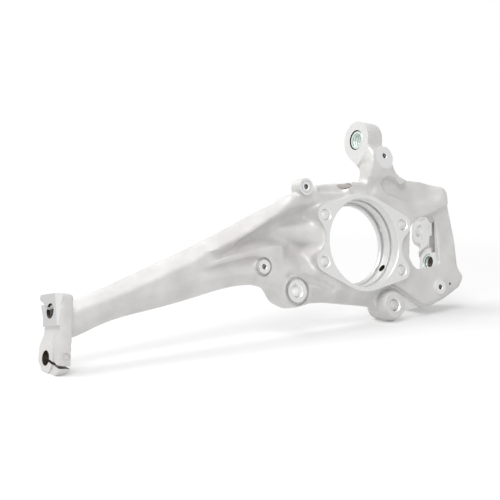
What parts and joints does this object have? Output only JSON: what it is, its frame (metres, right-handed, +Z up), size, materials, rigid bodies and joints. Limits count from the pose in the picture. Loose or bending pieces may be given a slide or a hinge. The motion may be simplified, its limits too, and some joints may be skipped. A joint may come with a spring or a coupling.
{
  "type": "steering knuckle",
  "caption": "Cast light-alloy steering knuckle with a hub seat, a long arm to the upper ball joints, a track rod arm and lower ball joint seats.",
  "frame": {"origin": "centre of the hub bore in the machined flange face", "axes": "+Z up with the part lying as in the picture, +X along its length from the head to the lower ball joint seats, -Y towards the wheel"},
  "size_m": [0.5114, 0.0897, 0.2079],
  "materials": {
    "casting": "satin",
    "sleeve": "satin"
  },
  "bodies": {
    "root": {"knuckle_casting": "casting", "track_rod_sleeve": "sleeve", "ball_joint_sleeve": "sleeve"}
  },
  "joints": []
}
